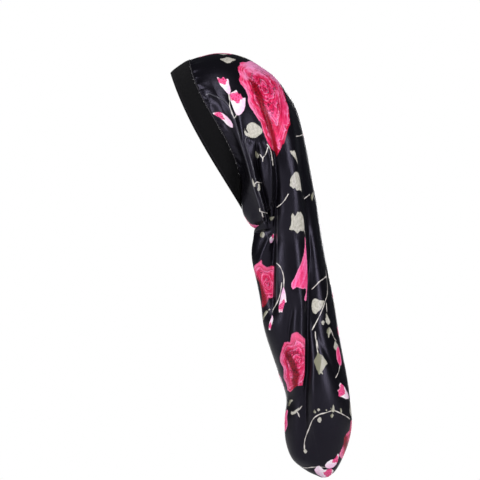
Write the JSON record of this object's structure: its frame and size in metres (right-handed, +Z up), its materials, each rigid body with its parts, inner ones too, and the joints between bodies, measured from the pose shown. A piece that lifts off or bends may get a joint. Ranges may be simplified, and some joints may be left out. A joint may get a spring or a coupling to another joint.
{
  "type": "sleep bonnet",
  "caption": "Long satin sleep bonnet with a wide knit elastic head band and a hanging tail for long hair, in the form it has when worn.",
  "frame": {"origin": "the middle of the ring that the head fills, at the head_seat mount", "axes": "+Z up as worn, the wearer faces -Y, +X is the wearer's left"},
  "size_m": [0.1722, 0.2273, 0.5307],
  "materials": {
    "printed_satin": "black satin with a printed rose pattern, soft sheen",
    "satin_edge": "turned and gathered satin edge with a line of stitches",
    "knit_band": "matte black stretch knit, fine ribs"
  },
  "bodies": {
    "root": {"satin_panel_left": "printed_satin", "satin_panel_right": "printed_satin", "gathered_edge": "satin_edge", "elastic_band": "knit_band"}
  },
  "joints": []
}
